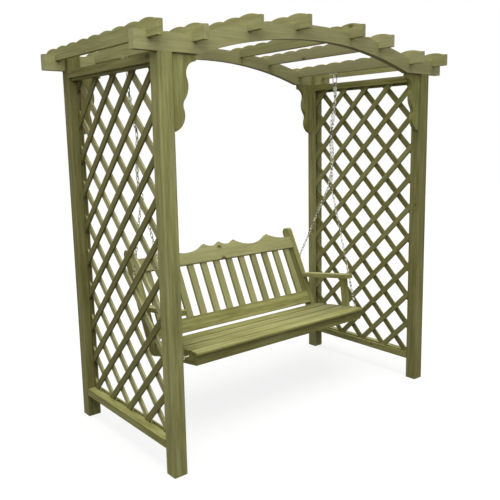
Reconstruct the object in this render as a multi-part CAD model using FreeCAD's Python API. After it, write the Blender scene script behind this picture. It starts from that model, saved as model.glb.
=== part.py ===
import FreeCAD, Part
import os
from math import ceil, cos, floor, pi, radians, sin, sqrt, tan

os.makedirs("parts", exist_ok=True)
V = FreeCAD.Vector

# Arbor: outside span over the posts, post section and post height, in millimetres
SPAN_X = 1798.0
SPAN_Y = 928.0
POST = 68.0
POST_H = 1826.0
POST_EASE = 3.0

# Arch beams, flush with the posts' outer faces
BEAM_T = 38.0
BEAM_END_H = 76.0
BEAM_OVERHANG = 106.0
ARCH_RISE = 113.0
CROWN_START = 106.0
CROWN_RISE = 105.0
CROWN_BLEND = 150.0

# Rafters, notched over both beams
RAFTER_T = 24.0
RAFTER_H = 74.0
RAFTER_DIP = 8.0
RAFTER_WAVES = 9
RAFTER_OVERHANG = 86.0
NOSE_H = 61.0
RAFTER_DROP = 30.0
HOUSING = 10.0
OUTER_GAP = 25.0
HANGER_GAP = 97.0
INNER_RAFTER_X = (-430.0, -140.0, 230.0, 458.0)

# Corner brackets: each pair is an arc's middle and end, out from the post and down from the beam
BRACKET_T = 24.0
BRACKET_SETBACK = 13.0
BRACKET_W = 121.0
BRACKET_H = 319.0
BRACKET_LIP = 28.0
BRACKET_ARCS = (
    ((86.0, 43.0), (75.0, 98.0)),
    ((80.0, 140.0), (63.0, 183.0)),
    ((53.0, 207.0), (56.0, 226.0)),
    ((55.0, 275.0), (0.0, BRACKET_H)),
)
ARCH_MARGIN = 11.0

# Side panels: grooved rails, two crossed layers of slats and a strip along the top
TOP_RAIL_H = 37.0
LOW_RAIL_H = 37.0
LOW_RAIL_Z = 120.0
LATTICE_IN = 50.0
GROOVE = 12.0
GROOVE_SPARE = 2.0
SLAT_W = 31.0
SLAT_T = 10.0
DIAMOND = 178.5
OUTER_DROP = 7.5
INNER_DROP = 50.5
STRIP_IN = 14.0
STRIP_H = 13.0

# Swing seat, drawn level with its front at the origin, then tipped back, except for its narrow front board
SEAT_L = 1212.0
SEAT_Y = -230.0
SEAT_Z = 455.5
SEAT_TIP = 7.1
FRONT_BOARD_W = 60.0
BOARDS = 4
BOARD_W = 109.0
BOARD_GAP = 5.0
BOARD_T = 22.0
BOARD_EASE = 3.0
FRONT_ROUND = 9.0
APRON_T = 24.0
APRON_H = 45.0
APRON_SETBACK = 10.0
SIDE_T = 38.0
SIDE_H = 50.0
BEARER_IN = 14.0

# Swing back, leaning from the seat's square
LEAN = 18.6
BACK_GAP = 11.0
STILE_IN = 29.0
STILE_T = 38.0
STILE_D = 56.0
STILE_TOP = 536.0
RAIL_T = 34.0
LOWER_RAIL_S = 13.0
LOWER_RAIL_H = 78.0
BACK_SLAT_L = 303.0
BACK_SLATS = 12
BACK_SLAT_W = 40.0
BACK_SLAT_T = 18.0
BACK_SLAT_EDGE = 34.5
BACK_SLAT_IN = 8.0

# Crest rail: its height in the middle, then each arc's middle and end: a share of the half length, a height
CREST_MID_H = 112.0
CREST_ARCS = (((0.1, 91.0), (0.195, 111.0)), ((0.42, 69.0), (0.665, 115.0)), ((0.8, 85.0), (1.0, 78.0)))

# Arms
ARM_TOP = 198.0
ARM_T = 24.0
ARM_W = 54.0
ARM_OUT = 31.0
ARM_NOSE = 72.0
ARM_ROUND = 22.0
ARM_POST_W = 46.0
ARM_POST_T = 20.0
ARM_POST_U = 118.0
ARM_POST_LAP = 42.0

# Hangers and chains
HANG_Y = 108.6
PLATE_L = 76.0
PLATE_T = 4.0
PIN_D = 6.0
PIN_DROP = 18.0
WIRE = 5.0
CORNER_CUT = 4.5
LINK_PITCH = 27.0
LINK_IN_W = 9.0
RING_IN_W = 27.0
SHACKLE_IN = 36.0
JOIN_IN = 16.0
JOIN_DROP = 665.0
JOIN_OUT = 74.0
STRAND_Y = 10.0
EYE_IN = 12.0
EYE_SHANK = 5.0
COLLAR_D = 16.0
COLLAR_T = 2.5
COLLAR_SIDES = 6
SEAT_EYE_U = 80.0
SEAT_EYE_W = -31.0
SEAT_EYE_OUT = 30.0
BACK_EYE_S = 328.0
BACK_EYE_T = 22.0
BACK_EYE_OUT = 12.0

# Clearance between pieces that fit together
FIT = 0.3

# Places that follow from the sizes above
X_OUT = SPAN_X / 2
X_IN = X_OUT - POST
Y_OUT = SPAN_Y / 2
Y_IN = Y_OUT - POST
BEAM_X = X_OUT + BEAM_OVERHANG
BEAM_TOP = POST_H + BEAM_END_H
ARCH_X = X_IN - BRACKET_W - ARCH_MARGIN
CROWN_X = X_IN - CROWN_START
CROWN_R = (CROWN_X ** 2 + CROWN_RISE ** 2) / (2 * CROWN_RISE)
OUTER_X = X_OUT + OUTER_GAP + RAFTER_T / 2
HANGER_X = X_IN - HANGER_GAP - RAFTER_T / 2
RAFTER_X = (-OUTER_X, -HANGER_X) + INNER_RAFTER_X + (HANGER_X, OUTER_X)
RAFTER_Y = Y_OUT + RAFTER_OVERHANG
PIN_Z = BEAM_TOP - RAFTER_DROP - PLATE_T - PIN_DROP
PANEL_LOW = LOW_RAIL_Z + LOW_RAIL_H
PANEL_HIGH = POST_H - TOP_RAIL_H
LATTICE_X = X_OUT - LATTICE_IN
HALF = SEAT_L / 2
SEAT_DEPTH = FRONT_BOARD_W + (BOARDS - 1) * (BOARD_W + BOARD_GAP)
FRAME_LOW = -BOARD_T - SIDE_H
APRON_BACK = APRON_SETBACK + APRON_T
STILE_X = HALF - STILE_IN
BACK_U = SEAT_DEPTH + BACK_GAP
CREST_S = LOWER_RAIL_S + LOWER_RAIL_H + BACK_SLAT_L


def save(name, shape):
    shape.exportStep("parts/" + name + ".step")


def save_pair(name, right):
    save(name + "_right", right)
    save(name + "_left", mirrored(right))


def box(x0, x1, y0, y1, z0, z1):
    return Part.makeBox(x1 - x0, y1 - y0, z1 - z0, V(x0, y0, z0))


def mirrored(shape):
    return shape.mirror(V(0, 0, 0), V(1, 0, 0))


def reversed_y(shape):
    return shape.mirror(V(0, 0, 0), V(0, 1, 0))


def half_turned(shape):
    return shape.rotated(V(0, 0, 0), V(0, 0, 1), 180)


def line(a, b):
    return Part.makeLine(a, b)


def arc(a, b, c):
    return Part.Arc(a, b, c).toShape()


# A row of arcs from a start point, each given by its middle and its end
def arcs(start, pairs):
    edges = []
    for middle, end in pairs:
        edges.append(arc(start, middle, end))
        start = end
    return edges


def prism(edges, push):
    return Part.Face(Part.Wire(edges)).extrude(push)


def edges_between(shape, low, high):
    found = []
    for edge in shape.Edges:
        ends = [vertex.Point for vertex in edge.Vertexes]
        if all(low.x <= p.x <= high.x and low.y <= p.y <= high.y and low.z <= p.z <= high.z for p in ends):
            found.append(edge)
    return found


# A post with its grooves for the lattice and a half-lap tongue that stands behind the arch beam
def post():
    leg = box(X_IN, X_OUT, Y_IN, Y_OUT, 0, POST_H)
    upright = [edge for edge in leg.Edges if edge.Length > POST]
    leg = leg.makeChamfer(POST_EASE, upright)
    tongue = box(X_IN, X_OUT, Y_IN, Y_OUT - BEAM_T, POST_H - POST_EASE, BEAM_TOP)
    reach = SLAT_T + FIT
    low = PANEL_LOW - GROOVE
    high = PANEL_HIGH + GROOVE
    groove = box(LATTICE_X - reach, LATTICE_X + reach, Y_IN, Y_IN + GROOVE, low, high)
    return leg.fuse(tongue).cut(groove).removeSplitter()


back_post = post()
front_post = reversed_y(back_post)
save_pair("post_back", back_post)
save_pair("post_front", front_post)


# Height of a beam's upper edge at a place across the width
def beam_top(x):
    if abs(x) >= CROWN_X:
        return BEAM_TOP
    return BEAM_TOP + CROWN_RISE - CROWN_R + sqrt(CROWN_R ** 2 - x ** 2)


# An arch beam with flat housings cut for the rafters
def arch_beam():
    y = Y_OUT - BEAM_T
    low = [V(-BEAM_X, y, POST_H), V(-ARCH_X, y, POST_H), V(0, y, POST_H + ARCH_RISE)]
    low += [V(ARCH_X, y, POST_H), V(BEAM_X, y, POST_H)]
    high = [V(BEAM_X, y, BEAM_TOP), V(CROWN_X, y, BEAM_TOP), V(0, y, BEAM_TOP + CROWN_RISE)]
    high += [V(-CROWN_X, y, BEAM_TOP), V(-BEAM_X, y, BEAM_TOP)]
    edges = [line(low[0], low[1]), arc(low[1], low[2], low[3]), line(low[3], low[4]), line(low[4], high[0])]
    edges += [line(high[0], high[1]), arc(high[1], high[2], high[3])]
    edges += [line(high[3], high[4]), line(high[4], low[0])]
    beam = prism(edges, V(0, BEAM_T, 0))
    creases = []
    for side in (-CROWN_X, CROWN_X):
        creases += edges_between(beam, V(side - 1, -SPAN_Y, BEAM_TOP - 1), V(side + 1, SPAN_Y, BEAM_TOP + 1))
    beam = beam.makeFillet(CROWN_BLEND, creases)
    half = RAFTER_T / 2 + FIT
    for x in RAFTER_X:
        top = beam_top(x)
        beam = beam.cut(box(x - half, x + half, y - 1, Y_OUT + 1, top - HOUSING, top + BEAM_END_H))
    return beam


back_beam = arch_beam()
save("arch_beam_back", back_beam)
save("arch_beam_front", reversed_y(back_beam))


# Upper edge of a rafter: a row of low humps that meet in valleys, with a flat nose at each end
def rafter_crest(z):
    pitch = SPAN_Y / (RAFTER_WAVES - 1)
    valley = z + RAFTER_H - RAFTER_DIP
    start = -Y_OUT - pitch / 2
    nose = z + NOSE_H
    humps = []
    for i in range(RAFTER_WAVES):
        y = start + pitch * i
        humps.append((V(0, y + pitch / 2, z + RAFTER_H), V(0, y + pitch, valley)))
    edges = [line(V(0, -RAFTER_Y, nose), V(0, start, nose)), line(V(0, start, nose), V(0, start, valley))]
    edges += arcs(V(0, start, valley), humps)
    edges += [line(V(0, -start, valley), V(0, -start, nose)), line(V(0, -start, nose), V(0, RAFTER_Y, nose))]
    return edges


# A rafter, notched to sit in the housings of both beams
def rafter(x):
    z = beam_top(x) - RAFTER_DROP
    edges = rafter_crest(z)
    edges.append(line(V(0, RAFTER_Y, z + NOSE_H), V(0, RAFTER_Y, z)))
    edges.append(line(V(0, RAFTER_Y, z), V(0, -RAFTER_Y, z)))
    edges.append(line(V(0, -RAFTER_Y, z), V(0, -RAFTER_Y, z + NOSE_H)))
    shape = prism(edges, V(RAFTER_T, 0, 0))
    shape.translate(V(x - RAFTER_T / 2, 0, 0))
    seat = beam_top(x) - HOUSING
    for y in (-Y_OUT, Y_OUT - BEAM_T):
        shape = shape.cut(box(x - RAFTER_T, x + RAFTER_T, y - FIT, y + BEAM_T + FIT, z - 1, seat))
    return shape


for number, x in enumerate(RAFTER_X, 1):
    save("rafter_" + str(number), rafter(x))


# A scalloped bracket in the corner between a post and the beam
def bracket():
    y = Y_OUT - BRACKET_SETBACK - BRACKET_T

    def at(out, down):
        return V(X_IN - out, y, POST_H - down)

    lip = at(BRACKET_W, BRACKET_LIP)
    foot = at(0, BRACKET_H)
    edges = [line(foot, at(0, 0)), line(at(0, 0), at(BRACKET_W, 0)), line(at(BRACKET_W, 0), lip)]
    edges += arcs(lip, [(at(*middle), at(*end)) for middle, end in BRACKET_ARCS])
    return prism(edges, V(0, BRACKET_T, 0))


back_bracket = bracket()
save_pair("bracket_back", back_bracket)
save_pair("bracket_front", reversed_y(back_bracket))


# A side rail, as wide as the posts, with a groove for the lattice along one face
def side_rail(low, high, groove_low, groove_high):
    rail = box(X_IN, X_OUT, -Y_IN, Y_IN, low, high)
    reach = SLAT_T + FIT
    return rail.cut(box(LATTICE_X - reach, LATTICE_X + reach, -Y_IN, Y_IN, groove_low, groove_high))


save_pair("top_rail", side_rail(PANEL_HIGH, POST_H, PANEL_HIGH, PANEL_HIGH + GROOVE))
save_pair("bottom_rail", side_rail(LOW_RAIL_Z, PANEL_LOW, PANEL_LOW - GROOVE, PANEL_LOW))


strip = box(LATTICE_X + SLAT_T + FIT, X_OUT - STRIP_IN, -Y_IN, Y_IN, PANEL_HIGH - STRIP_H, PANEL_HIGH)
save_pair("lattice_strip", strip)


# One layer of lattice: parallel slats at 45 degrees, trimmed to the grooves
def lattice_layer(x, turn, drop):
    deep = GROOVE - GROOVE_SPARE
    panel = box(x, x + SLAT_T, -Y_IN - deep, Y_IN + deep, PANEL_LOW - deep, PANEL_HIGH + deep)
    first = PANEL_HIGH - drop
    reach = Y_IN + deep
    top = floor((PANEL_HIGH + reach - first) / DIAMOND)
    bottom = ceil((PANEL_LOW - reach - first) / DIAMOND)
    length = 2 * SPAN_Y
    slats = []
    for k in range(bottom, top + 1):
        slat = box(x, x + SLAT_T, -length, length, -SLAT_W / 2, SLAT_W / 2)
        slat.rotate(V(0, 0, 0), V(1, 0, 0), turn)
        slat.translate(V(0, 0, first + k * DIAMOND))
        slats += slat.common(panel).Solids
    return Part.makeCompound(slats)


outer = lattice_layer(LATTICE_X, 45, OUTER_DROP)
inner = lattice_layer(LATTICE_X - SLAT_T, -45, INNER_DROP)
for name, layer in (("lattice_outer", outer), ("lattice_inner", inner)):
    save(name + "_right", layer)
    save(name + "_left", half_turned(layer))


# Turn a piece drawn in the level seat frame into its place on the tipped seat
def seated(shape):
    tipped = FreeCAD.Placement(V(0, SEAT_Y, SEAT_Z), FreeCAD.Rotation(V(1, 0, 0), -SEAT_TIP))
    placed = shape.copy()
    placed.Placement = tipped.multiply(shape.Placement)
    return placed


def seat_point(x, u, w):
    tip = radians(SEAT_TIP)
    return V(x, SEAT_Y + u * cos(tip) + w * sin(tip), SEAT_Z - u * sin(tip) + w * cos(tip))


# A point on the leaning back: s up along the stile's front face, t through it to the rear
def back_point(x, s, t):
    lean = radians(LEAN)
    return V(x, BACK_U + s * sin(lean) + t * cos(lean), s * cos(lean) - t * sin(lean))


def back_block(x0, x1, s0, s1, t0, t1):
    corners = [back_point(x0, s0, t0), back_point(x0, s1, t0), back_point(x0, s1, t1), back_point(x0, s0, t1)]
    return prism(Part.makePolygon(corners + corners[:1]).Edges, V(x1 - x0, 0, 0))


# Turn a piece at the seat's front about the front board's rear edge, so that it is level once seated
def levelled(shape):
    return shape.rotated(V(0, FRONT_BOARD_W, 0), V(1, 0, 0), SEAT_TIP)


def level_point(x, u, w):
    tip = radians(SEAT_TIP)
    ahead = u - FRONT_BOARD_W
    return V(x, FRONT_BOARD_W + ahead * cos(tip) - w * sin(tip), ahead * sin(tip) + w * cos(tip))


# A seat board with its long upper edges eased
def seat_board(u):
    board = box(-HALF, HALF, u, u + BOARD_W, -BOARD_T, 0)
    top = [edge for edge in board.Edges if edge.Length > BOARD_W and edge.CenterOfMass.z > -BOARD_EASE]
    return board.makeChamfer(BOARD_EASE, top)


# The narrow front board, rounded over
def front_board():
    board = box(-HALF, HALF, 0, FRONT_BOARD_W, -BOARD_T, 0)
    nose = edges_between(board, V(-HALF, 0, -BOARD_T), V(HALF, 0, 0))
    nose = [edge for edge in nose if edge.Length > FRONT_BOARD_W]
    board = board.makeFillet(min(FRONT_ROUND, BOARD_T * 0.45), nose)
    rear = edges_between(board, V(-HALF, FRONT_BOARD_W, 0), V(HALF, FRONT_BOARD_W, 0))
    return board.makeChamfer(BOARD_EASE, rear)


save("seat_board_1", seated(levelled(front_board())))
for number in range(1, BOARDS):
    u = FRONT_BOARD_W + BOARD_GAP + (number - 1) * (BOARD_W + BOARD_GAP)
    save("seat_board_" + str(number + 1), seated(seat_board(u)))

# Apron under the front board
apron = box(-HALF, HALF, APRON_SETBACK, APRON_BACK, -BOARD_T - APRON_H, -BOARD_T)
save("apron", seated(levelled(apron)))
lean_slope = tan(radians(LEAN))


# A side rail of the seat, from the apron to the foot of the stile
def seat_side_rail():
    x = HALF - SIDE_T
    tip = radians(SEAT_TIP)
    low_front = level_point(x, APRON_BACK, (FRAME_LOW - (APRON_BACK - FRONT_BOARD_W) * sin(tip)) / cos(tip))
    bend = V(x, FRONT_BOARD_W + BOARD_T * tan(tip / 2), -BOARD_T)
    corners = [low_front, level_point(x, APRON_BACK, -BOARD_T), bend]
    corners += [V(x, BACK_U + w * lean_slope, w) for w in (-BOARD_T, FRAME_LOW)]
    return prism(Part.makePolygon(corners + corners[:1]).Edges, V(SIDE_T, 0, 0))


side = seat_side_rail()
save_pair("seat_side_rail", seated(side))

# A rear bearer between the side rails, and a middle one from the apron to it
inside = HALF - SIDE_T
rear = SEAT_DEPTH - BEARER_IN
save("rear_bearer", seated(box(-inside, inside, rear - SIDE_T, rear, FRAME_LOW, -BOARD_T)))
middle = side.common(box(0, HALF, 0, rear - SIDE_T, FRAME_LOW, 0))
middle.translate(V(SIDE_T / 2 - HALF, 0, 0))
save("middle_bearer", seated(middle))


# A back stile, from the bottom of the seat frame to its rounded head
def stile():
    lean = radians(LEAN)

    def foot(t):
        return (FRAME_LOW + t * sin(lean)) / cos(lean)

    x = STILE_X
    neck = STILE_TOP - STILE_D / 2
    edges = [line(back_point(x, foot(0), 0), back_point(x, neck, 0))]
    top = back_point(x, STILE_TOP, STILE_D / 2)
    edges.append(arc(back_point(x, neck, 0), top, back_point(x, neck, STILE_D)))
    edges.append(line(back_point(x, neck, STILE_D), back_point(x, foot(STILE_D), STILE_D)))
    edges.append(line(back_point(x, foot(STILE_D), STILE_D), back_point(x, foot(0), 0)))
    return prism(edges, V(STILE_T, 0, 0))


save_pair("stile", seated(stile()))


# The crest rail, whose hollows meet in low points along the top
def crest_rail():
    half = STILE_X - FIT

    def at(side, place):
        share, height = place
        return back_point(side * share * half, CREST_S + height, 0)

    edges = []
    for side in (-1, 1):
        hollows = [(at(side, middle), at(side, end)) for middle, end in CREST_ARCS]
        edges += arcs(at(side, (0, CREST_MID_H)), hollows)
        edges.append(line(at(side, CREST_ARCS[-1][1]), at(side, (1, 0))))
    edges.append(line(at(-1, (1, 0)), at(1, (1, 0))))
    return prism(Part.__sortEdges__(edges), back_point(0, 0, RAIL_T) - back_point(0, 0, 0))


save("crest_rail", seated(crest_rail()))
lower = back_block(FIT - STILE_X, STILE_X - FIT, LOWER_RAIL_S, LOWER_RAIL_S + LOWER_RAIL_H, 0, RAIL_T)
save("lower_back_rail", seated(lower))

slats = []
slat_pitch = (2 * (STILE_X - BACK_SLAT_EDGE) - BACK_SLAT_W) / (BACK_SLATS - 1)
for number in range(BACK_SLATS):
    x = (number - (BACK_SLATS - 1) / 2) * slat_pitch
    foot = LOWER_RAIL_S + LOWER_RAIL_H
    left = x - BACK_SLAT_W / 2
    slat = back_block(left, left + BACK_SLAT_W, foot, CREST_S, BACK_SLAT_IN, BACK_SLAT_IN + BACK_SLAT_T)
    slats.append(seated(slat))
save("back_slats", Part.makeCompound(slats))


# An armrest that butts on the stile and has a rounded nose
def armrest():
    x = HALF + ARM_OUT - ARM_W
    low = ARM_TOP - ARM_T

    def stile_front(w):
        return BACK_U + w * lean_slope

    corners = [V(x, ARM_NOSE, low), V(x, stile_front(low), low)]
    corners += [V(x, stile_front(ARM_TOP), ARM_TOP), V(x, ARM_NOSE, ARM_TOP)]
    arm = prism(Part.makePolygon(corners + corners[:1]).Edges, V(ARM_W, 0, 0))
    upright = []
    for side in (x, x + ARM_W):
        upright += edges_between(arm, V(side, ARM_NOSE, low), V(side, ARM_NOSE, ARM_TOP))
    return arm.makeFillet(min(ARM_ROUND, ARM_W * 0.45), upright)


save_pair("armrest", seated(armrest()))
arm_foot = -BOARD_T - ARM_POST_LAP
arm_post = box(HALF, HALF + ARM_POST_T, ARM_POST_U, ARM_POST_U + ARM_POST_W, arm_foot, ARM_TOP - ARM_T)
save_pair("arm_post", seated(arm_post))


# A hanger: a round bar on two legs under a small plate that is fixed to the rafter's underside
def hanger():
    half_x = RAFTER_T / 2
    half_y = PLATE_L / 2
    low = PIN_Z - PIN_D / 2
    plate_low = PIN_Z + PIN_DROP
    left = HANGER_X - half_x
    shape = box(left, left + RAFTER_T, HANG_Y - half_y, HANG_Y + half_y, plate_low, plate_low + PLATE_T)
    for x in (left, left + RAFTER_T - PIN_D):
        shape = shape.fuse(box(x, x + PIN_D, HANG_Y - PIN_D / 2, HANG_Y + PIN_D / 2, low, plate_low))
    reach = RAFTER_T - 2 * PIN_D
    bar = Part.makeCylinder(PIN_D / 2, reach, V(HANGER_X - reach / 2, HANG_Y, PIN_Z), V(1, 0, 0))
    return shape.fuse(bar).removeSplitter()


save_pair("hanger", hanger())


# A flat ring of square wire: its opening starts at the origin and runs along the first direction
def ring(origin, along, across, opening_l, opening_w, corner_cut=0.0):
    normal = along.cross(across)
    half = opening_w / 2
    shape = box(-WIRE, opening_l + WIRE, -half - WIRE, half + WIRE, -WIRE / 2, WIRE / 2)
    if corner_cut:
        shape = shape.makeChamfer(corner_cut, [edge for edge in shape.Edges if edge.Length < WIRE + FIT])
    shape = shape.cut(box(0, opening_l, -half, half, -WIRE, WIRE))
    rows = []
    for axis in ("x", "y", "z"):
        rows += [getattr(part, axis) for part in (along, across, normal, origin)]
    shape.Placement = FreeCAD.Placement(FreeCAD.Matrix(*rows, 0, 0, 0, 1))
    return shape


def across_x(along):
    side = V(1, 0, 0) - along * along.x
    return side.normalize()


# Half of a bar's height as a link that pulls at a slant has to clear it
def slanted_half(bar_half, cosine):
    return bar_half / cosine + WIRE / 2 * sqrt(1 - cosine ** 2) / cosine


# A taut run of links from one bar's middle to another's, each link turned a quarter from the last
def chain_run(start, end, half_start, half_end, odd):
    along = (end - start).normalize()
    total = (end - start).Length + half_start + half_end + FIT
    count = 2 * round((total / LINK_PITCH - odd) / 2) + odd
    pitch = total / count
    flat = across_x(along)
    turned = along.cross(flat)
    links = []
    for i in range(count):
        origin = start + along * (i * pitch - half_start - FIT)
        links.append(ring(origin, along, turned if i % 2 else flat, pitch + FIT, LINK_IN_W))
    return Part.makeCompound(links)


# Shackle on the hanger's bar, joining ring below it, and the doubled chain between them
pin = V(HANGER_X, HANG_Y, PIN_Z)
join_middle = V(HALF + JOIN_OUT, HANG_Y, PIN_Z - JOIN_DROP)
down = (join_middle - pin).normalize()
deep = V(0, 1, 0)
pin_half = slanted_half(PIN_D / 2, -down.z) + FIT
save_pair("shackle", ring(pin - down * pin_half, down, deep, SHACKLE_IN, RING_IN_W, CORNER_CUT))
shackle_bar = pin + down * (SHACKLE_IN - pin_half + WIRE / 2)
join_high = join_middle - down * (JOIN_IN / 2)
save_pair("joining_ring", ring(join_high, down, deep, JOIN_IN, RING_IN_W, CORNER_CUT))
join_reach = (JOIN_IN + WIRE) / 2
strands = []
for side in (-1, 1):
    offset = deep * (side * STRAND_Y)
    end = join_middle - down * join_reach + offset
    strands.append(chain_run(shackle_bar + offset, end, WIRE / 2, WIRE / 2, 1))
save_pair("chain_upper", Part.makeCompound([link for strand in strands for link in strand.Solids]))


# An eye in the side of the swing: a ring on a shank, with a collar against the wood
def eye(centre, along, face_x):
    half = EYE_IN / 2
    shape = ring(centre - along * half, along, across_x(along), EYE_IN, EYE_IN, CORNER_CUT)
    reach = centre.x - half - WIRE / 2 - face_x
    wood = V(face_x, centre.y, centre.z)
    y = wood.y - EYE_SHANK / 2
    z = wood.z - EYE_SHANK / 2
    shank = box(face_x, face_x + reach, y, y + EYE_SHANK, z, z + EYE_SHANK)
    corners = []
    for i in range(COLLAR_SIDES):
        turn = 2 * pi * i / COLLAR_SIDES
        corners.append(wood + V(0, cos(turn), sin(turn)) * (COLLAR_D / 2))
    collar = Part.Face(Part.makePolygon(corners + corners[:1])).extrude(V(COLLAR_T, 0, 0))
    return shape.fuse([shank, collar])


# Front and back legs of the chain, from the joining ring to the eyes
back_place = back_point(0, BACK_EYE_S, BACK_EYE_T)
stile_face = STILE_X + STILE_T
legs = (
    ("chain_front", -STRAND_Y, seat_point(HALF + SEAT_EYE_OUT, SEAT_EYE_U, SEAT_EYE_W), HALF),
    ("chain_back", STRAND_Y, seat_point(stile_face + BACK_EYE_OUT, back_place.y, back_place.z), stile_face),
)
eyes = []
for name, y, centre, face_x in legs:
    start = join_middle + down * join_reach + deep * y
    along = (centre - start).normalize()
    end = centre - along * ((EYE_IN + WIRE) / 2)
    save_pair(name, chain_run(start, end, slanted_half(WIRE / 2, along.dot(down)), WIRE / 2, 0))
    right = eye(centre, along, face_x)
    eyes += [right, mirrored(right)]
save("eyes", Part.makeCompound(eyes))
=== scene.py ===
import math

import bpy
import numpy as np
from mathutils import Matrix, Vector


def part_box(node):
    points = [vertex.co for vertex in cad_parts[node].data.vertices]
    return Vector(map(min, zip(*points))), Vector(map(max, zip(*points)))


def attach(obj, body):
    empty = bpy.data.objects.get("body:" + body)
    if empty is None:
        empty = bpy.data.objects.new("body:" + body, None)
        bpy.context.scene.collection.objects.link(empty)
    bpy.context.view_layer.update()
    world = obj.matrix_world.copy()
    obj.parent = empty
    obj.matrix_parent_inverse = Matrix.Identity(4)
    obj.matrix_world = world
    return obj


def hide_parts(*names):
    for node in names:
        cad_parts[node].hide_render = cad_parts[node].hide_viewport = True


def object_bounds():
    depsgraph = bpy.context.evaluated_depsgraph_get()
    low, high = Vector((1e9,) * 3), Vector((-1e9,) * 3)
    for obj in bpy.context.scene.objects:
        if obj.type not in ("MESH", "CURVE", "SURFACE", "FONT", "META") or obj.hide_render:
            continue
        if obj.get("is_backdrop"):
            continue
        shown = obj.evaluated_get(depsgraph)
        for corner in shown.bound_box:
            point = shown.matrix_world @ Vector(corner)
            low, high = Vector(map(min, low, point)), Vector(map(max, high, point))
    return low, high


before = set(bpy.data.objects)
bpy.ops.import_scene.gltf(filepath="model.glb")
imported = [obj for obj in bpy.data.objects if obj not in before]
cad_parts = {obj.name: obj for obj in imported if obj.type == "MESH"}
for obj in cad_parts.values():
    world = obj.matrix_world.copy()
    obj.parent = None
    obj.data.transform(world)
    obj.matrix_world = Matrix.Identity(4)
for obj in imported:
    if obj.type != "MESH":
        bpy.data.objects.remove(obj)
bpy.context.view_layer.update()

MM = 0.001

# The camera, worked out from the photograph's vanishing lines (frame of 500 by 500 pixels)
PHOTO_PX = 500
FOCAL_PX = 630.24
CENTRE_PX = (262.44, 241.48)
CAMERA_AT = (-2.25065, -2.69393, 1.47447)
CAMERA_YAW = math.radians(40.081)
CAMERA_PITCH = math.radians(-9.233)
CAMERA_ROLL = math.radians(-0.888)
SENSOR_MM = 36.0

# The swing's tip at rest, the lean of its back, and the ways that pieces and their grain run
SEAT_TIP = math.radians(7.1)
BACK_LEAN = SEAT_TIP + math.radians(18.6)
ALONG_X = (1, 0, 0)
ALONG_Y = (0, 1, 0)
UPRIGHT = (0, 0, 1)
RISING = (0, 1, 1)
FALLING = (0, 1, -1)
ALONG_SEAT = (0, math.cos(SEAT_TIP), -math.sin(SEAT_TIP))
UP_FROM_SEAT = (0, math.sin(SEAT_TIP), math.cos(SEAT_TIP))
UP_THE_BACK = (0, math.sin(BACK_LEAN), math.cos(BACK_LEAN))

# Hanging hardware on the right-hand side, in metres, as in the part's source
WIRE = 5 * MM
FIT = 0.3 * MM
RING_IN_W = 27 * MM
SHACKLE_IN = 36 * MM
JOIN_IN = 16 * MM
STRAND_Y = 10 * MM
PIN_D = 6 * MM
EYE_IN = 12 * MM
EYE_SHANK = 5 * MM
COLLAR_D = 16 * MM
COLLAR_T = 2.5 * MM
PIN_AT = np.array((722, 108.6, 1850)) * MM
JOIN_AT = np.array((680, 108.6, 1185)) * MM
SEAT_EYE = np.array((636, -154.445, 414.85)) * MM
SEAT_EYE_FACE = 606 * MM
BACK_EYE = np.array((627, 341.897, 690.465)) * MM
BACK_EYE_FACE = 615 * MM

# The chain as the photograph shows it: a finer pitch and wire than the source's, its doubled strands twisted
LINK_PITCH = 21 * MM
LINK_WIRE = 4 * MM
LINK_IN_W = 6.5 * MM
STRAND_TWIST = math.radians(540)

# How square each bent wire ring is (2 is an ellipse), its faces along and around the wire, and a collar's lip
LINK_SQUARE = 3.2
LINK_FACES = (12, 5)
RING_SQUARE = 5.0
EYE_SQUARE = 2.0
RING_FACES = (28, 10)
SHANK_SIDES = 24
COLLAR_LIP = 0.5 * MM

# Seat boards 2 to 4: their section, as in the part's source, and the rounding of their long edges
EASED_BOARDS = ("seat_board_2", "seat_board_3", "seat_board_4")
BOARD_W = 109 * MM
BOARD_T = 22 * MM
BOARD_ROUND = 7 * MM
BOARD_STEPS = 32

# Rafters: humps, noses and notches over the beams, as in the part's source
RAFTER_DIP = 8 * MM
RAFTER_WAVES = 9
RAFTER_DROP = 30 * MM
NOSE_H = 61 * MM
NOSE_Y = 522 * MM
BEAM_OUT = 464 * MM
BEAM_T = 38 * MM
HOUSING = 10 * MM

# The rafters' upper edge as the photograph shows it, running down towards the back, and their eased corners
BACK_TAPER = 14 * MM
TAPER_FROM = -406 * MM
RAFTER_EASE = 1.5 * MM
HUMP_STEPS = 8
STEP_HALF = 0.02 * MM

# Spacing of the lattice's slats and of the back's, and how high a slat of each layer crosses mid-panel
DIAMOND = 178.5 * MM
OUTER_FIRST = 1781.5 * MM
INNER_FIRST = 1738.5 * MM
BACK_SLAT_PITCH = 95 * MM

# Sockets of a Mix node that mixes colours
MIX_SHARE = 0
MIX_BASE = 6
MIX_LAYER = 7
MIX_RESULT = 2


# Colours and nodes
def linear(hex_code):
    """An sRGB hex colour as linear red, green, blue and alpha."""
    srgb = np.array([int(hex_code[i:i + 2], 16) for i in (1, 3, 5)]) / 255
    rgb = np.where(srgb <= 0.04045, srgb / 12.92, ((srgb + 0.055) / 1.055) ** 2.4)
    return (*(float(c) for c in rgb), 1.0)


def bare_tree(owner):
    """The emptied node tree of a material or a world."""
    owner.use_nodes = True
    owner.node_tree.nodes.clear()
    return owner.node_tree


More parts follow.
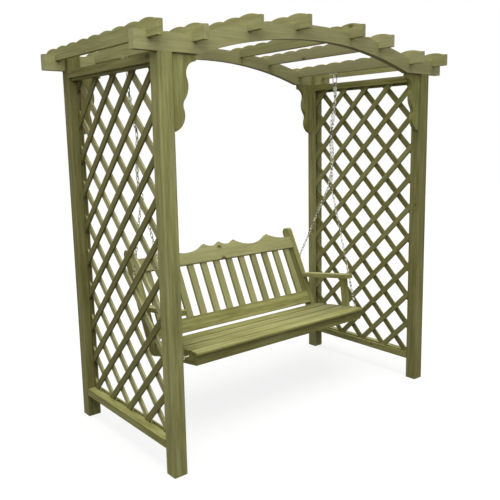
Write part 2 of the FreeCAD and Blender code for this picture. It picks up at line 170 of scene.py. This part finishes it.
def add(tree, kind, inputs=None, stops=(), **settings):
    """Adds a node with its settings; an input is a value or the socket that feeds it, and a ramp's stops
    are pairs of a place and a hex colour."""
    node = tree.nodes.new(kind)
    for name, value in settings.items():
        setattr(node, name, value)
    for name, value in (inputs or {}).items():
        if isinstance(value, bpy.types.NodeSocket):
            tree.links.new(value, node.inputs[name])
        else:
            node.inputs[name].default_value = value
    if stops:
        elements = node.color_ramp.elements
        while len(elements) < len(stops):
            elements.new(0.5)
        for element, (place, colour) in zip(elements, stops):
            element.position = place
            element.color = linear(colour)
    return node


def seen_rays(tree):
    """1 for the rays that show the white studio, seen directly, in gloss or through glass; 0 for others."""
    path = add(tree, "ShaderNodeLightPath").outputs
    seen = path["Is Camera Ray"]
    for kind in ("Is Glossy Ray", "Is Transmission Ray"):
        seen = add(tree, "ShaderNodeMath", {0: seen, 1: path[kind]}, operation="MAXIMUM").outputs["Value"]
    return seen


# Planed pine, pressure treated: olive green sapwood with darker growth lines along the grain, uneven streaks,
# a few brown knots, and blotches where the salts took unevenly. The growth lines are 14 mm apart and the
# fibres 5 mm wide, coarser than the real 4 mm and 1 mm, so that they show in the render.
GROWTH_GAP = 14 * MM
FIBRE_W = 5 * MM
STREAK_W = 24 * MM
BLOTCH_W = 130 * MM
GRAIN_STRETCH = 14
GRAIN_DETAIL = 3.0
CLOUD_DETAIL = 4.0
FIBRE_RAGGED = 0.6
STREAK_RAGGED = 0.65
GROWTH_TONES = ((0.0, "#989759"), (0.55, "#8E8C4E"), (0.85, "#716C33"), (1.0, "#635D2A"))
BLOTCH_TONES = ((0.3, "#7A793D"), (0.5, "#918F53"), (0.72, "#A8A56C"))
FIBRE_TONES = ((0.3, "#575421"), (0.5, "#8C8B50"), (0.7, "#B4B279"))
STREAK_TONES = ((0.34, "#5C5523"), (0.5, "#8D8B4E"), (0.66, "#B6B47A"))
BLOTCH_SHARE = 0.5
FIBRE_SHARE = 0.38
STREAK_SHARE = 0.45
# The next two colours lighten and darken whole pieces: bleaching with painted light, darker wood with painted
# shade
BLEACH_AND_PAINTED_LIGHT = "#BDB98C"
TONE_AND_PAINTED_SHADE = "#463F1A"
PINE_IOR = 1.5
PINE_GLOSS = 0.25
PLANED_ROUGH = 0.62
FURRY_ROUGH = 0.86
GRAIN_BUMP = 0.25
GRAIN_DEPTH = 0.8 * MM

# How far the growth lines sway, and how finely. The wave pattern repeats each 2 pi / 20 of its own length.
GROWTH_SWAY = 2.2
SWAY_DETAIL = 2.0
SWAY_SCALE = 0.35
WAVE_LENGTH = 2 * math.pi / 20

# Knots: one in each cell whose random number is past the odds, drawn out along the grain. The growth lines
# bend round the middle of every cell, by a push in radians of the lines.
KNOT_CELL = 110 * MM
KNOT_CORE = 4.4 * MM
KNOT_EDGE = 15.4 * MM
KNOT_REACH = 33 * MM
KNOT_STRETCH = 1.7
KNOT_ODDS = (0.5, 0.55)
KNOT_PUSH = 7.0
KNOT_BROWN = "#4E4722"

# Slats of one node differ in tone, and the seat boards' long edges are darkened with painted shade, for the
# gaps between the boards
DULL_SLAT = "#6B6636"
SLAT_SPREAD = 0.4
PAINTED_GAP_SHADE = "#3A3418"
GAP_SHADE_WIDTH = 7 * MM
GAP_SHADE_SHARE = 0.9


def knots(tree, space):
    """How much of a knot a point is in, from its distance to the middle of its cell, and how far the
    growth lines are pushed aside there."""
    cells = add(tree, "ShaderNodeTexVoronoi", {"Vector": space, "Scale": 1 / KNOT_CELL})
    away = cells.outputs["Distance"]
    drawn = add(tree, "ShaderNodeSeparateColor", {"Color": cells.outputs["Color"]}).outputs["Red"]
    some = add(tree, "ShaderNodeMapRange", {
        "Value": drawn, "From Min": KNOT_ODDS[0], "From Max": KNOT_ODDS[1],
    }).outputs["Result"]
    near = add(tree, "ShaderNodeMapRange", {
        "Value": away, "From Min": KNOT_CORE / KNOT_CELL, "From Max": KNOT_EDGE / KNOT_CELL,
        "To Min": 1.0, "To Max": 0.0,
    }).outputs["Result"]
    knot = add(tree, "ShaderNodeMath", {0: some, 1: near}, operation="MULTIPLY").outputs["Value"]
    push = add(tree, "ShaderNodeMapRange", {
        "Value": away, "From Min": 0.0, "From Max": KNOT_REACH / KNOT_CELL,
        "To Min": KNOT_PUSH, "To Max": 0.0,
    }, interpolation_type="SMOOTHSTEP").outputs["Result"]
    return knot, push


def slat_tones(tree, place, across, pitch, first):
    """A random share for each slat, by its number: its place across, less the first's, over the pitch."""
    steps = tuple(np.array(across) / pitch)
    spot = add(tree, "ShaderNodeVectorMath", {0: place, 1: steps}, operation="DOT_PRODUCT").outputs["Value"]
    spot = add(tree, "ShaderNodeMath", {0: spot, 1: first / pitch}, operation="SUBTRACT").outputs["Value"]
    number = add(tree, "ShaderNodeMath", {0: spot}, operation="ROUND").outputs["Value"]
    tone = add(tree, "ShaderNodeTexWhiteNoise", {"W": number}, noise_dimensions="1D").outputs["Value"]
    return add(tree, "ShaderNodeMapRange", {
        "Value": tone, "To Min": 0.0, "To Max": SLAT_SPREAD,
    }).outputs["Result"]


def gap_shade_edges(tree, place, across, middle, half):
    """A share of painted shade that grows from nothing, a set width inside a board's long edges, to its most
    at the edges.
    """
    spot = add(tree, "ShaderNodeVectorMath", {0: place, 1: across}, operation="DOT_PRODUCT").outputs["Value"]
    aside = add(tree, "ShaderNodeMath", {0: spot, 1: middle}, operation="SUBTRACT").outputs["Value"]
    aside = add(tree, "ShaderNodeMath", {0: aside}, operation="ABSOLUTE").outputs["Value"]
    return add(tree, "ShaderNodeMapRange", {
        "Value": aside, "From Min": half - GAP_SHADE_WIDTH, "From Max": half,
        "To Min": 0.0, "To Max": GAP_SHADE_SHARE,
    }).outputs["Result"]


def treated_pine(name, grain, pith, shade, pale, lanes, edges):
    """Solid timber: growth rings round a pith line along the grain, cut by the piece's own faces.
    shade darkens the whole piece, as darker wood and as painted shade, and pale lightens it, as bleaching and
    as painted light; lanes, where given, tells a node's slats apart, and edges tells where a board's long
    edges are, which get painted shade for the gaps between the boards."""
    material = bpy.data.materials.new(name)
    tree = bare_tree(material)
    place = add(tree, "ShaderNodeTexCoord").outputs["Object"]
    turn = Vector(ALONG_X).rotation_difference(Vector(grain)).to_euler()
    board, knot_space = (
        add(tree, "ShaderNodeMapping", {
            "Vector": place, "Location": pith, "Rotation": turn, "Scale": (stretch, 1, 1),
        }, vector_type="TEXTURE").outputs["Vector"]
        for stretch in (GRAIN_STRETCH, KNOT_STRETCH)
    )
    knot, push = knots(tree, knot_space)
    rings = add(tree, "ShaderNodeTexWave", {
        "Vector": board, "Scale": WAVE_LENGTH / GROWTH_GAP, "Phase Offset": push,
        "Distortion": GROWTH_SWAY, "Detail": SWAY_DETAIL, "Detail Scale": SWAY_SCALE,
    }, wave_type="RINGS", rings_direction="X", wave_profile="SIN").outputs["Fac"]
    fibre = add(tree, "ShaderNodeTexNoise", {
        "Vector": board, "Scale": 1 / FIBRE_W, "Detail": GRAIN_DETAIL, "Roughness": FIBRE_RAGGED,
    }).outputs["Fac"]
    streak = add(tree, "ShaderNodeTexNoise", {
        "Vector": board, "Scale": 1 / STREAK_W, "Detail": GRAIN_DETAIL, "Roughness": STREAK_RAGGED,
    }).outputs["Fac"]
    blotch = add(tree, "ShaderNodeTexNoise", {
        "Vector": knot_space, "Scale": 1 / BLOTCH_W, "Detail": CLOUD_DETAIL,
    }).outputs["Fac"]
    colour, blotches, fibres, streaks = (
        add(tree, "ShaderNodeValToRGB", {"Fac": pattern}, tones).outputs["Color"]
        for pattern, tones in ((rings, GROWTH_TONES), (blotch, BLOTCH_TONES),
                               (fibre, FIBRE_TONES), (streak, STREAK_TONES))
    )
    layers = [(BLOTCH_SHARE, blotches), (FIBRE_SHARE, fibres), (STREAK_SHARE, streaks)]
    # Paler: partly bleaching, partly painted light
    layers.append((pale, linear(BLEACH_AND_PAINTED_LIGHT)))
    if lanes:
        layers.append((slat_tones(tree, place, *lanes), linear(DULL_SLAT)))
    # Painted shade along the seat boards' long edges, for the gaps between them
    if edges:
        layers.append((gap_shade_edges(tree, place, *edges), linear(PAINTED_GAP_SHADE)))
    # Darker: partly the wood's own tone, partly painted shade
    layers += [(shade, linear(TONE_AND_PAINTED_SHADE)), (knot, linear(KNOT_BROWN))]
    for share, layer in layers:
        colour = add(tree, "ShaderNodeMix", {
            MIX_SHARE: share, MIX_BASE: colour, MIX_LAYER: layer,
        }, data_type="RGBA").outputs[MIX_RESULT]
    rough = add(tree, "ShaderNodeMapRange", {
        "Value": fibre, "To Min": PLANED_ROUGH, "To Max": FURRY_ROUGH,
    }).outputs["Result"]
    relief = add(tree, "ShaderNodeMath", {0: rings, 1: fibre}, operation="ADD").outputs["Value"]
    bump = add(tree, "ShaderNodeBump", {
        "Height": relief, "Strength": GRAIN_BUMP, "Distance": GRAIN_DEPTH,
    }).outputs["Normal"]
    shader = add(tree, "ShaderNodeBsdfPrincipled", {
        "Base Color": colour, "Roughness": rough, "Normal": bump,
        "IOR": PINE_IOR, "Specular IOR Level": PINE_GLOSS,
    })
    add(tree, "ShaderNodeOutputMaterial", {"Surface": shader.outputs["BSDF"]})
    return material


# Bright zinc plating on drawn and welded wire: a silvery metal whose colour runs from painted dark patches
# to painted glints in a soft noise, so that some links look to shine and some don't; the dark parts are
# rougher
GLINT_PATCH_W = 14 * MM
PAINTED_GLINT_TONES = ((0.42, "#4A4838"), (0.56, "#F2F0D8"))
TARNISHED_ROUGH = 0.5
BRIGHT_ROUGH = 0.28
ZINC_METALLIC = 0.6


def zinc_plated_steel():
    """Metal whose colour is a soft noise of painted dark patches and painted glints, which also dulls its
    polish where dark.
    """
    material = bpy.data.materials.new("zinc_plated_steel")
    tree = bare_tree(material)
    place = add(tree, "ShaderNodeTexCoord").outputs["Object"]
    glint_noise = add(tree, "ShaderNodeTexNoise", {
        "Vector": place, "Scale": 1 / GLINT_PATCH_W, "Detail": CLOUD_DETAIL,
    }).outputs["Fac"]
    colour = add(tree, "ShaderNodeValToRGB", {"Fac": glint_noise}, PAINTED_GLINT_TONES).outputs["Color"]
    rough = add(tree, "ShaderNodeMapRange", {
        "Value": glint_noise, "To Min": TARNISHED_ROUGH, "To Max": BRIGHT_ROUGH,
    }).outputs["Result"]
    shader = add(tree, "ShaderNodeBsdfPrincipled", {
        "Base Color": colour, "Roughness": rough, "Metallic": ZINC_METALLIC,
    })
    add(tree, "ShaderNodeOutputMaterial", {"Surface": shader.outputs["BSDF"]})
    return material


ZINC = zinc_plated_steel()

# Each kind of timber piece: the way its grain runs, how dark it is and how pale. Darkness and paleness are
# partly the wood's own tone and partly painted shade and painted light: pieces that stand in shade, such as
# the inner posts, the apron, the lattice strips, the right lattice and the left lattice layer with shaded
# lower edges, are darkened, and pieces that catch the light, such as the roof, the crest and the left lattice
# layer with lit upper edges, are made paler. The first kind that a node's name starts with counts.
TIMBER = {
    "post_front_left": (UPRIGHT, 0.0, 0.08),
    "post_front_right": (UPRIGHT, 0.25, 0.0),
    "post_back_left": (UPRIGHT, 0.35, 0.0),
    "post_back_right": (UPRIGHT, 0.0, 0.2),
    "arch_beam": (ALONG_X, 0.0, 0.4),
    "rafter_1": (ALONG_Y, 0.0, 0.1),
    "rafter_6": (ALONG_Y, 0.0, 0.6),
    "rafter_7": (ALONG_Y, 0.0, 0.6),
    "rafter": (ALONG_Y, 0.0, 0.25),
    "bracket": (UPRIGHT, 0.0, 0.0),
    "top_rail": (ALONG_Y, 0.0, 0.0),
    "bottom_rail": (ALONG_Y, 0.0, 0.0),
    "lattice_strip": (ALONG_Y, 0.3, 0.0),
    "lattice_outer_left": (FALLING, 0.42, 0.0),
    "lattice_inner_left": (RISING, 0.0, 0.65),
    "lattice_outer_right": (RISING, 0.3, 0.0),
    "lattice_inner_right": (FALLING, 0.0, 0.1),
    "seat_board": (ALONG_X, 0.1, 0.0),
    "apron": (ALONG_X, 0.2, 0.0),
    "seat_side_rail": (ALONG_SEAT, 0.0, 0.15),
    "rear_bearer": (ALONG_X, 0.2, 0.0),
    "middle_bearer": (ALONG_SEAT, 0.2, 0.0),
    "stile": (UP_THE_BACK, 0.0, 0.0),
    "crest_rail": (ALONG_X, 0.0, 0.3),
    "lower_back_rail": (ALONG_X, 0.0, 0.0),
    "back_slats": (UP_THE_BACK, 0.0, 0.35),
    "armrest": (ALONG_SEAT, 0.0, 0.1),
    "arm_post": (UP_FROM_SEAT, 0.0, 0.0),
}

# Nodes of many slats: the way across the slats, their spacing, and where one of them lies on that way
LANES = {
    "lattice_outer_left": (RISING, DIAMOND, OUTER_FIRST),
    "lattice_inner_left": (FALLING, DIAMOND, -INNER_FIRST),
    "lattice_outer_right": (FALLING, DIAMOND, -OUTER_FIRST),
    "lattice_inner_right": (RISING, DIAMOND, INNER_FIRST),
    "back_slats": (ALONG_X, BACK_SLAT_PITCH, BACK_SLAT_PITCH / 2),
}

# Each piece is sawn from its own place in the log, and some bleach more than others
PITH_OFF = 70 * MM
BLEACH_SPREAD = 0.12
CHANCE_SEED = 7

chance = np.random.default_rng(CHANCE_SEED)
for node in sorted(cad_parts):
    finish = ZINC
    timber = next((facts for kind, facts in TIMBER.items() if node.startswith(kind)), None)
    if timber:
        grain, shade, pale = timber
        low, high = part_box(node)
        middle = (low + high) / 2
        pith = middle + Vector(chance.uniform(-PITH_OFF, PITH_OFF, 3))
        pale += float(chance.uniform(0.0, BLEACH_SPREAD))
        edges = None
        if node in EASED_BOARDS:
            edges = (ALONG_SEAT, middle.dot(Vector(ALONG_SEAT)), BOARD_W / 2)
        finish = treated_pine("treated_pine_" + node, grain, pith, shade, pale, LANES.get(node), edges)
    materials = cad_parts[node].data.materials
    materials.clear()
    materials.append(finish)


# Grids of points, the faces between them, and the pieces made of them
def turns(count):
    """Even angles round a circle, half a step past its start."""
    return (np.arange(count) + 0.5) * 2 * np.pi / count


def unit(way):
    """The same way with a length of one."""
    return way / np.linalg.norm(way, axis=-1, keepdims=True)


def sideways(along):
    """The way nearest to X that is square to a run: X less its share along the run."""
    return unit(np.array(ALONG_X) - along * along[..., :1])


def signed_power(value, power):
    """A power of a value's size, with the value's own sign."""
    return np.sign(value) * np.abs(value) ** power


def ring_faces(points, first):
    """Quads of grids that close both ways, numbered from first."""
    grids, steps, sides = points.shape[:3]
    grid, i, j = np.indices((grids, steps, sides))
    corners = [(grid * steps + (i + di) % steps) * sides + (j + dj) % sides
               for di, dj in ((0, 0), (1, 0), (1, 1), (0, 1))]
    return (np.stack(corners, -1).reshape(-1, 4) + first).tolist()


def tube_faces(points, first):
    """Quads of a grid that closes round, with a flat cap at each end, numbered from first."""
    steps, sides = points.shape[:2]
    i, j = np.indices((steps - 1, sides))
    corners = [(i + di) * sides + (j + dj) % sides for di, dj in ((0, 0), (0, 1), (1, 1), (1, 0))]
    quads = (np.stack(corners, -1).reshape(-1, 4) + first).tolist()
    near_cap = (first + np.arange(sides)[::-1]).tolist()
    far_cap = (first + (steps - 1) * sides + np.arange(sides)).tolist()
    return quads + [near_cap, far_cap]


def mirrored(points):
    """The same grid on the other side, run the other way round so that its faces still point out."""
    return (points * (-1, 1, 1))[..., ::-1, :]


def new_piece(name, body, node, finish, grids, smooth_faces=None):
    """Puts grids, each with the function that gives its faces, into one mesh that stands for a CAD node.
    The first smooth_faces of the faces are shaded round, or all of them where no number is given."""
    points = []
    faces = []
    count = 0
    for grid, faces_of in grids:
        faces += faces_of(grid, count)
        points.append(grid.reshape(-1, 3))
        count += len(points[-1])
    smooth = np.zeros(len(faces), dtype=bool)
    smooth[:smooth_faces] = True
    mesh = bpy.data.meshes.new(name)
    mesh.from_pydata(np.concatenate(points).tolist(), [], faces)
    mesh.polygons.foreach_set("use_smooth", smooth)
    mesh.materials.append(finish)
    piece = bpy.data.objects.new(name, mesh)
    bpy.context.scene.collection.objects.link(piece)
    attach(piece, body)
    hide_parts(node)


# Bent wire and turned metal
def wire_rings(starts, along, across, opening, wire, square, faces):
    """Rings of round wire: a circle carried along the line |p/a|^n + |q/b|^n = 1, where p runs along the
    ring from the middle of its opening, q across it, and a and b are half the opening plus half the wire."""
    steps, sides = faces
    a, b = ((inside + wire) / 2 for inside in opening)
    cosine = np.cos(turns(steps))[:, None]
    sine = np.sin(turns(steps))[:, None]
    p = a * signed_power(cosine, 2 / square)
    q = b * signed_power(sine, 2 / square)
    p_out = signed_power(cosine, 2 - 2 / square) / a
    q_out = signed_power(sine, 2 - 2 / square) / b
    middle = (starts + along * opening[0] / 2)[:, None]
    line = middle + p * along[:, None] + q * across[:, None]
    outward = unit(p_out * along[:, None] + q_out * across[:, None])[:, :, None]
    normal = np.cross(along, across)[:, None, None]
    around = turns(sides)[:, None]
    return line[:, :, None] + wire / 2 * (np.cos(around) * outward + np.sin(around) * normal)


def chain_run(start, end, half_start, half_end, odd, twist=0.0, aside=np.zeros(3)):
    """A taut run of links from one bar's middle to another's, each a pitch on and turned a quarter; their
    number is odd (1) or even (0). A twisted strand starts to one side of the run's middle line and goes
    round it: aside cos t + |aside| flat sin t."""
    span = np.linalg.norm(end - start)
    along = (end - start) / span
    total = span + half_start + half_end + FIT
    count = 2 * round((total / LINK_PITCH - odd) / 2) + odd
    number = np.arange(count + 1)[:, None]
    turn = twist * number / count
    meets = start + along * (number * total / count - half_start - FIT)
    meets = meets + (np.cos(turn) - 1) * aside + np.sin(turn) * np.linalg.norm(aside) * sideways(along)
    steps = np.diff(meets, axis=0)
    each = unit(steps)
    flat = sideways(each)
    across = np.where(number[:-1] % 2, np.cross(each, flat), flat)
    opening = (np.linalg.norm(steps[0]) + FIT, LINK_IN_W)
    return wire_rings(meets[:-1], each, across, opening, LINK_WIRE, LINK_SQUARE, LINK_FACES)


def lone_ring(start, along, across, opening, square):
    """One ring of the thicker wire."""
    return wire_rings(start[None], along[None], across[None], opening, WIRE, square, RING_FACES)


def turned_shank(face, reach):
    """Collar and shank: a profile of radius against reach along X, carried round the shank's line."""
    collar = COLLAR_D / 2
    shank = EYE_SHANK / 2
    radius = np.array((collar, collar, collar - COLLAR_LIP, shank + COLLAR_LIP, shank, shank))
    out = np.array((0, COLLAR_T - COLLAR_LIP, COLLAR_T, COLLAR_T, COLLAR_T + COLLAR_LIP, reach))
    around = turns(SHANK_SIDES)
    y = radius[:, None] * np.cos(around)
    z = radius[:, None] * np.sin(around)
    x = np.broadcast_to(out[:, None], y.shape)
    return face + np.stack((x, y, z), -1)


def slanted_half(bar_half, cosine):
    """Half a bar's height as a link that pulls at a slant has to clear it."""
    return bar_half / cosine + WIRE / 2 * math.sqrt(1 - cosine ** 2) / cosine


def zinc_pair(name, node, rings):
    """A right-hand piece of bent wire and its mirrored left-hand one."""
    for side, grids in (("_right", rings), ("_left", [mirrored(grid) for grid in rings])):
        new_piece(name + side, "swing", node + side, ZINC,
                  [(grid, ring_faces) for grid in grids])


deep = np.array(ALONG_Y, dtype=float)
down = unit(JOIN_AT - PIN_AT)
pin_half = slanted_half(PIN_D / 2, -down[2]) + FIT
shackle_bar = PIN_AT + down * (SHACKLE_IN - pin_half + WIRE / 2)
join_reach = (JOIN_IN + WIRE) / 2
join_top = JOIN_AT - down * join_reach
join_foot = JOIN_AT + down * join_reach
shackle = lone_ring(PIN_AT - down * pin_half, down, deep, (SHACKLE_IN, RING_IN_W), RING_SQUARE)
joining = lone_ring(JOIN_AT - down * JOIN_IN / 2, down, deep, (JOIN_IN, RING_IN_W), RING_SQUARE)
strands = [chain_run(shackle_bar + aside, join_top + aside, WIRE / 2, WIRE / 2, 1, STRAND_TWIST, aside)
           for aside in (-STRAND_Y * deep, STRAND_Y * deep)]
zinc_pair("shackle_wire", "shackle", [shackle])
zinc_pair("joining_wire", "joining_ring", [joining])
zinc_pair("doubled_links", "chain_upper", strands)

eye_rings = []
eye_shanks = []
for name, node, aside, eye, face_x in (
        ("front_links", "chain_front", -STRAND_Y * deep, SEAT_EYE, SEAT_EYE_FACE),
        ("back_links", "chain_back", STRAND_Y * deep, BACK_EYE, BACK_EYE_FACE)):
    start = join_foot + aside
    along = unit(eye - start)
    end = eye - along * (EYE_IN + WIRE) / 2
    bar_half = slanted_half(WIRE / 2, float(along @ down))
    zinc_pair(name, node, [chain_run(start, end, bar_half, WIRE / 2, 0)])
    ring = lone_ring(eye - along * EYE_IN / 2, along, sideways(along), (EYE_IN, EYE_IN), EYE_SQUARE)
    shank = turned_shank(np.array((face_x, *eye[1:])), eye[0] - (EYE_IN + WIRE) / 2 - face_x)
    eye_rings += [(ring, ring_faces), (mirrored(ring), ring_faces)]
    eye_shanks += [(shank, tube_faces), (mirrored(shank), tube_faces)]
new_piece("screw_eyes", "swing", "eyes", ZINC, eye_rings + eye_shanks)


# Timber with worked edges
def node_box(node):
    """A node's lowest and highest corners as arrays."""
    return [np.array(corner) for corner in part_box(node)]


def eased_board(node):
    """A rounded oblong across the board, carried along X: u = (a - r) sign(cos t) + r cos t and
    w = (b - r) sign(sin t) + r sin t, with a and b half the width and thickness and r the rounding."""
    low, high = node_box(node)
    cosine = np.cos(turns(BOARD_STEPS))
    sine = np.sin(turns(BOARD_STEPS))
    u = (BOARD_W / 2 - BOARD_ROUND) * np.sign(cosine) + BOARD_ROUND * cosine
    w = (BOARD_T / 2 - BOARD_ROUND) * np.sign(sine) + BOARD_ROUND * sine
    profile = u[:, None] * np.array(ALONG_SEAT) + w[:, None] * np.array(UP_FROM_SEAT)
    half_length = (high[0] - low[0]) / 2
    ends = np.array((-half_length, half_length))[:, None, None] * np.array(ALONG_X)
    return (low + high) / 2 + ends + profile


def tapered_rafter(node):
    """An oblong with eased corners carried along Y: its top follows a row of circular humps,
    R = (h^2 + d^2) / 2d for half a hump's length h and height d, less a taper that grows towards the back,
    and its underside steps up where it sits on the beams."""
    low, high = node_box(node)
    pitch = 2 * NOSE_Y / RAFTER_WAVES
    radius = ((pitch / 2) ** 2 + RAFTER_DIP ** 2) / (2 * RAFTER_DIP)
    notch_out = BEAM_OUT + FIT
    notch_in = BEAM_OUT - BEAM_T - FIT
    humps = np.linspace(-NOSE_Y, NOSE_Y, RAFTER_WAVES * HUMP_STEPS + 1)[1:-1]
    steps = np.array((NOSE_Y, notch_out, notch_in))
    breaks = np.concatenate((steps - STEP_HALF, steps + STEP_HALF, high[1:2]))
    y = np.sort(np.concatenate((humps, breaks, -breaks)))
    from_crown = np.mod(y + NOSE_Y, pitch) - pitch / 2
    hump = high[2] - radius + np.sqrt(radius ** 2 - from_crown ** 2)
    top = np.where(np.abs(y) > NOSE_Y, low[2] + NOSE_H, hump)
    top = top - BACK_TAPER * np.clip((y - TAPER_FROM) / (high[1] - TAPER_FROM), 0, 1)
    on_beam = (np.abs(y) < notch_out) & (np.abs(y) > notch_in)
    under = low[2] + np.where(on_beam, RAFTER_DROP - HOUSING, 0)
    side = (high[0] - low[0]) / 2
    inner = side - RAFTER_EASE
    across = (low[0] + high[0]) / 2 + np.array((side, side, inner, -inner, -side, -side, -inner, inner))
    top_side = top - RAFTER_EASE
    under_side = under + RAFTER_EASE
    z = np.stack((top_side, under_side, under, under, under_side, top_side, top, top), -1)
    x = np.broadcast_to(across, z.shape)
    return np.stack((x, np.broadcast_to(y[:, None], z.shape), z), -1)


for node in EASED_BOARDS:
    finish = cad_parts[node].data.materials[0]
    new_piece("eased_" + node, "swing", node, finish, [(eased_board(node), tube_faces)],
              smooth_faces=BOARD_STEPS)
for node in sorted(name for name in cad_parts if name.startswith("rafter_")):
    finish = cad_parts[node].data.materials[0]
    new_piece("tapered_" + node, "arbor", node, finish, [(tapered_rafter(node), tube_faces)],
              smooth_faces=0)


# Camera
def camera_turn(yaw, pitch, roll):
    """Columns right, up and backward, from the yaw, pitch and roll of the view."""
    forward = Vector((math.sin(yaw) * math.cos(pitch), math.cos(yaw) * math.cos(pitch), math.sin(pitch)))
    level = Vector((math.cos(yaw), -math.sin(yaw), 0))
    upward = level.cross(forward)
    right = level * math.cos(roll) + upward * math.sin(roll)
    up = upward * math.cos(roll) - level * math.sin(roll)
    return Matrix((right, up, -forward)).transposed().to_4x4()


lens = bpy.data.cameras.new("photo_camera")
lens.sensor_width = SENSOR_MM
lens.lens = FOCAL_PX * SENSOR_MM / PHOTO_PX
lens.shift_x = 0.5 - CENTRE_PX[0] / PHOTO_PX
lens.shift_y = CENTRE_PX[1] / PHOTO_PX - 0.5
camera = bpy.data.objects.new("photo_camera", lens)
camera.matrix_world = Matrix.Translation(CAMERA_AT) @ camera_turn(CAMERA_YAW, CAMERA_PITCH, CAMERA_ROLL)
bpy.context.scene.collection.objects.link(camera)
bpy.context.scene.camera = camera

# Pale floor, near white to the camera, that throws little light back up
WHITE = "#FFFFFF"
FLOOR_HALF = 14.0
FLOOR_GLOW = 0.8
FLOOR_SEEN = "#F0F0EE"
FLOOR_BOUNCE = "#2C2C2A"
floor_mesh = bpy.data.meshes.new("floor")
corners = np.array([(-1, -1, 0), (1, -1, 0), (1, 1, 0), (-1, 1, 0)]) * FLOOR_HALF
floor_mesh.from_pydata(corners.tolist(), [], [(0, 1, 2, 3)])
floor = bpy.data.objects.new("floor", floor_mesh)
bpy.context.scene.collection.objects.link(floor)
floor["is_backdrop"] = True
floor_paint = bpy.data.materials.new("pale_floor")
paint = bare_tree(floor_paint)
seen = seen_rays(paint)
share = add(paint, "ShaderNodeMath", {0: seen, 1: FLOOR_GLOW}, operation="MULTIPLY").outputs["Value"]
colour = add(paint, "ShaderNodeMix", {
    MIX_SHARE: seen, MIX_BASE: linear(FLOOR_BOUNCE), MIX_LAYER: linear(FLOOR_SEEN),
}, data_type="RGBA").outputs[MIX_RESULT]
matt = add(paint, "ShaderNodeBsdfDiffuse", {"Color": colour}).outputs["BSDF"]
glow = add(paint, "ShaderNodeEmission", {"Color": linear(WHITE), "Strength": 1.0}).outputs["Emission"]
both = add(paint, "ShaderNodeMixShader", {0: share, 1: matt, 2: glow}).outputs["Shader"]
add(paint, "ShaderNodeOutputMaterial", {"Surface": both})
floor_mesh.materials.append(floor_paint)

# Soft studio light: an even dim surround, a broad lamp overhead, a softbox ahead and to the left,
# and a broad fill from behind and the right
SURROUND = 0.42
world = bpy.data.worlds.new("studio")
bpy.context.scene.world = world
sky = bare_tree(world)
strength = add(sky, "ShaderNodeMapRange", {
    "Value": seen_rays(sky), "To Min": SURROUND, "To Max": 1.0,
}).outputs["Result"]
background = add(sky, "ShaderNodeBackground", {"Color": linear(WHITE), "Strength": strength})
add(sky, "ShaderNodeOutputWorld", {"Surface": background.outputs["Background"]})


def lamp(name, kind, at, aim, energy, **settings):
    """A lamp at a place, turned towards another."""
    light = bpy.data.lights.new(name, kind)
    light.energy = energy
    for setting, value in settings.items():
        setattr(light, setting, value)
    holder = bpy.data.objects.new(name, light)
    holder.location = at
    holder.rotation_mode = "QUATERNION"
    holder.rotation_quaternion = (Vector(at) - Vector(aim)).to_track_quat("Z", "Y")
    bpy.context.scene.collection.objects.link(holder)


lamp("overhead", "SUN", at=(-0.4, -0.6, 4.0), aim=(0, 0, 0), energy=3.1, angle=math.radians(50))
lamp("softbox", "AREA", at=(-2.0, -2.1, 2.7), aim=(-0.8, -0.3, 1.5), energy=22, shape="SQUARE", size=1.2)
lamp("fill", "SUN", at=(2.0, 2.5, 1.8), aim=(0, 0, 0), energy=1.2, angle=math.radians(90))

bpy.context.scene.view_settings.view_transform = "Standard"

low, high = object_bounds()
